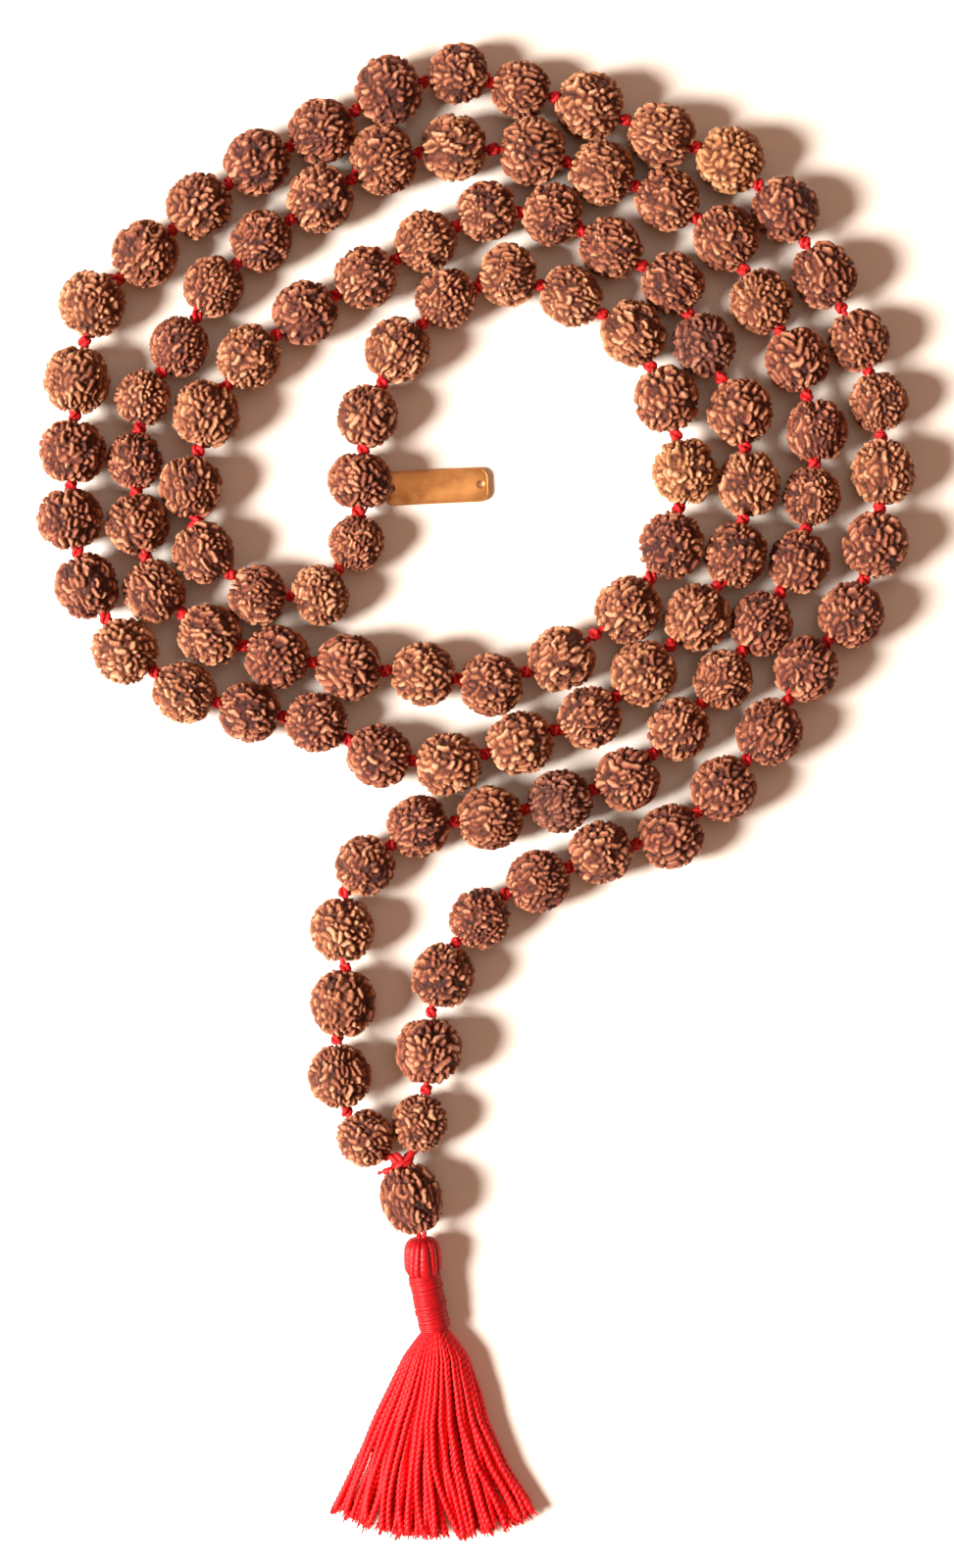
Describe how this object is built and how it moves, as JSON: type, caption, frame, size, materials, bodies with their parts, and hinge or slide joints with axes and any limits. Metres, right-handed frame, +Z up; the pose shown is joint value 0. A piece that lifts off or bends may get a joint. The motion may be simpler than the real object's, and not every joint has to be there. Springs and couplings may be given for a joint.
{
  "type": "mala prayer beads",
  "caption": "Mala of knobbly brown rudraksha seed beads knotted on red cord, laid in a doubled spiral, with a guru bead, a red thread tassel and a plain gold tag.",
  "frame": {"origin": "middle of the footprint of the laid-out strand and tassel, on the table plane", "axes": "+Z up off the table, +Y from the tassel towards the coil, +X to the right when the tassel points at the viewer"},
  "size_m": [0.112, 0.1902, 0.0087],
  "materials": {
    "rudraksha_seed": "rough",
    "red_cord": "waxed",
    "red_tassel": "silky",
    "gold_plate": "satin"
  },
  "bodies": {
    "coil": {"bead_005_with_cord": "rudraksha_seed", "bead_104_with_cord": "rudraksha_seed", "beads_006_008": "rudraksha_seed", "beads_009_011": "rudraksha_seed", "beads_012_014": "rudraksha_seed", "beads_015_017": "rudraksha_seed", "beads_018_020": "rudraksha_seed", "beads_021_023": "rudraksha_seed", "beads_024_026": "rudraksha_seed", "beads_027_029": "rudraksha_seed", "beads_030_032": "rudraksha_seed", "beads_033_035": "rudraksha_seed", "beads_036_038": "rudraksha_seed", "beads_039_041": "rudraksha_seed", "beads_042_044": "rudraksha_seed", "beads_045_046": "rudraksha_seed", "beads_055_057": "rudraksha_seed", "beads_058_060": "rudraksha_seed", "beads_061_063": "rudraksha_seed", "beads_064_066": "rudraksha_seed", "beads_067_069": "rudraksha_seed", "beads_070_072": "rudraksha_seed", "beads_073_075": "rudraksha_seed", "beads_076_078": "rudraksha_seed", "beads_079_081": "rudraksha_seed", "beads_082_084": "rudraksha_seed", "beads_085_087": "rudraksha_seed", "beads_088_090": "rudraksha_seed", "beads_091_093": "rudraksha_seed", "beads_094_096": "rudraksha_seed", "beads_097_099": "rudraksha_seed", "beads_100_103": "rudraksha_seed"},
    "inner_strands": {"beads_047_048": "rudraksha_seed", "beads_053_054": "rudraksha_seed"},
    "inner_end": {"beads_049_052": "rudraksha_seed"},
    "stem_row_1": {"stem_cord_1_left": "red_cord", "stem_cord_1_right": "red_cord"},
    "stem_row_2": {"stem_cord_2_left": "red_cord", "stem_cord_2_right": "red_cord"},
    "stem_row_3": {"stem_cord_3_left": "red_cord", "stem_cord_3_right": "red_cord"},
    "stem_row_4": {"stem_cord_4_left": "red_cord", "stem_cord_4_right": "red_cord", "gathering_knot": "red_cord"},
    "bead_004": {"bead_004": "rudraksha_seed"},
    "bead_105": {"bead_105": "rudraksha_seed"},
    "bead_003": {"bead_003": "rudraksha_seed"},
    "bead_106": {"bead_106": "rudraksha_seed"},
    "bead_002": {"bead_002": "rudraksha_seed"},
    "bead_107": {"bead_107": "rudraksha_seed"},
    "bead_001": {"bead_001": "rudraksha_seed"},
    "bead_108": {"bead_108": "rudraksha_seed"},
    "guru_cord": {"guru_cord": "red_cord"},
    "guru_bead": {"guru_bead": "rudraksha_seed"},
    "tassel_loop": {"tassel_loop": "red_cord"},
    "tassel": {"tassel_head": "red_tassel", "tassel_neck_wrap": "red_tassel"},
    "tassel_skirt": {"tassel_skirt": "red_tassel"},
    "tag_thread": {"tag_thread": "red_cord"},
    "tag": {"tag": "gold_plate"}
  },
  "joints": [
    {"name": "inner_fold", "type": "hinge", "parent": "coil", "child": "inner_strands", "pos_m": [-0.02183, 0.05155, 0.00409], "axis": [-0.9998, -0.0177, 0.0101], "range_deg": [-30, 30]},
    {"name": "inner_end_fold", "type": "hinge", "parent": "inner_strands", "child": "inner_end", "pos_m": [-0.0253, 0.03481, 0.00386], "axis": [-0.9987, -0.0496, 0.0128], "range_deg": [-20, 30]},
    {"name": "stem_fold_1", "type": "hinge", "parent": "coil", "child": "stem_row_1", "pos_m": [-0.00653, -0.01336, 0.00389], "axis": [-1, 0.008, 0.0016], "range_deg": [-30, 30]},
    {"name": "stem_fold_2", "type": "hinge", "parent": "stem_row_1", "child": "stem_row_2", "pos_m": [-0.00964, -0.02124, 0.00402], "axis": [-0.9763, -0.2163, 0.0093], "range_deg": [-30, 30]},
    {"name": "stem_fold_3", "type": "hinge", "parent": "stem_row_2", "child": "stem_row_3", "pos_m": [-0.0117, -0.03022, 0.00409], "axis": [-0.9615, -0.2749, -0.0043], "range_deg": [-30, 30]},
    {"name": "stem_fold_4", "type": "hinge", "parent": "stem_row_3", "child": "stem_row_4", "pos_m": [-0.01144, -0.03981, 0.00382], "axis": [-0.9642, -0.2649, -0.0091], "range_deg": [-30, 30]},
    {"name": "bead_004_spin", "type": "hinge", "parent": "stem_row_1", "child": "bead_004", "pos_m": [-0.01706, -0.01797, 0.00402], "axis": [0.0089, -0.9998, 0.0197], "continuous": true},
    {"name": "bead_105_spin", "type": "hinge", "parent": "stem_row_1", "child": "bead_105", "pos_m": [0.00048, -0.01656, 0.00384], "axis": [-0.7114, -0.7028, 0.0097], "continuous": true},
    {"name": "bead_003_spin", "type": "hinge", "parent": "stem_row_2", "child": "bead_003", "pos_m": [-0.01699, -0.02736, 0.00416], "axis": [-0.1109, -0.9938, -0.0026], "continuous": true},
    {"name": "bead_106_spin", "type": "hinge", "parent": "stem_row_2", "child": "bead_106", "pos_m": [-0.00426, -0.0238, 0.00407], "axis": [-0.3319, -0.9432, 0.0174], "continuous": true},
    {"name": "bead_002_spin", "type": "hinge", "parent": "stem_row_3", "child": "bead_002", "pos_m": [-0.0174, -0.03664, 0.00398], "axis": [0.1273, -0.9914, -0.0318], "continuous": true},
    {"name": "bead_107_spin", "type": "hinge", "parent": "stem_row_3", "child": "bead_107", "pos_m": [-0.00607, -0.03338, 0.00417], "axis": [-0.0666, -0.9974, -0.0257], "continuous": true},
    {"name": "bead_001_spin", "type": "hinge", "parent": "stem_row_4", "child": "bead_001", "pos_m": [-0.01415, -0.04459, 0.00356], "axis": [0.6966, -0.7174, -0.0087], "continuous": true},
    {"name": "bead_108_spin", "type": "hinge", "parent": "stem_row_4", "child": "bead_108", "pos_m": [-0.00715, -0.04266, 0.00356], "axis": [-0.2298, -0.973, -0.0202], "continuous": true},
    {"name": "guru_fold", "type": "hinge", "parent": "stem_row_4", "child": "guru_cord", "pos_m": [-0.0096, -0.04748, 0.0037], "axis": [-0.9623, -0.272, 0], "range_deg": [-30, 30]},
    {"name": "guru_bead_spin", "type": "hinge", "parent": "guru_cord", "child": "guru_bead", "pos_m": [-0.00825, -0.05227, 0.00408], "axis": [0.2719, -0.962, 0.0261], "continuous": true},
    {"name": "tassel_swing", "type": "hinge", "parent": "guru_cord", "child": "tassel_loop", "pos_m": [-0.007, -0.05668, 0.00395], "axis": [0, 0, 1], "range_deg": [-25, 25]},
    {"name": "tassel_lift", "type": "hinge", "parent": "tassel_loop", "child": "tassel", "pos_m": [-0.007, -0.05698, 0.0039], "axis": [-1, 0, 0], "range_deg": [-30, 40]},
    {"name": "skirt_fold", "type": "hinge", "parent": "tassel", "child": "tassel_skirt", "pos_m": [-0.0052, -0.06948, 0.00212], "axis": [-1, 0, 0], "range_deg": [-25, 25]},
    {"name": "tag_swing", "type": "hinge", "parent": "inner_strands", "child": "tag_thread", "pos_m": [-0.01505, 0.03532, 0.00373], "axis": [0, 0, 1], "range_deg": [-8, 8]},
    {"name": "tag_lift", "type": "hinge", "parent": "tag_thread", "child": "tag", "pos_m": [-0.011, 0.03865, 0.00063], "axis": [0.0438, -0.999, 0], "range_deg": [0, 45]}
  ]
}
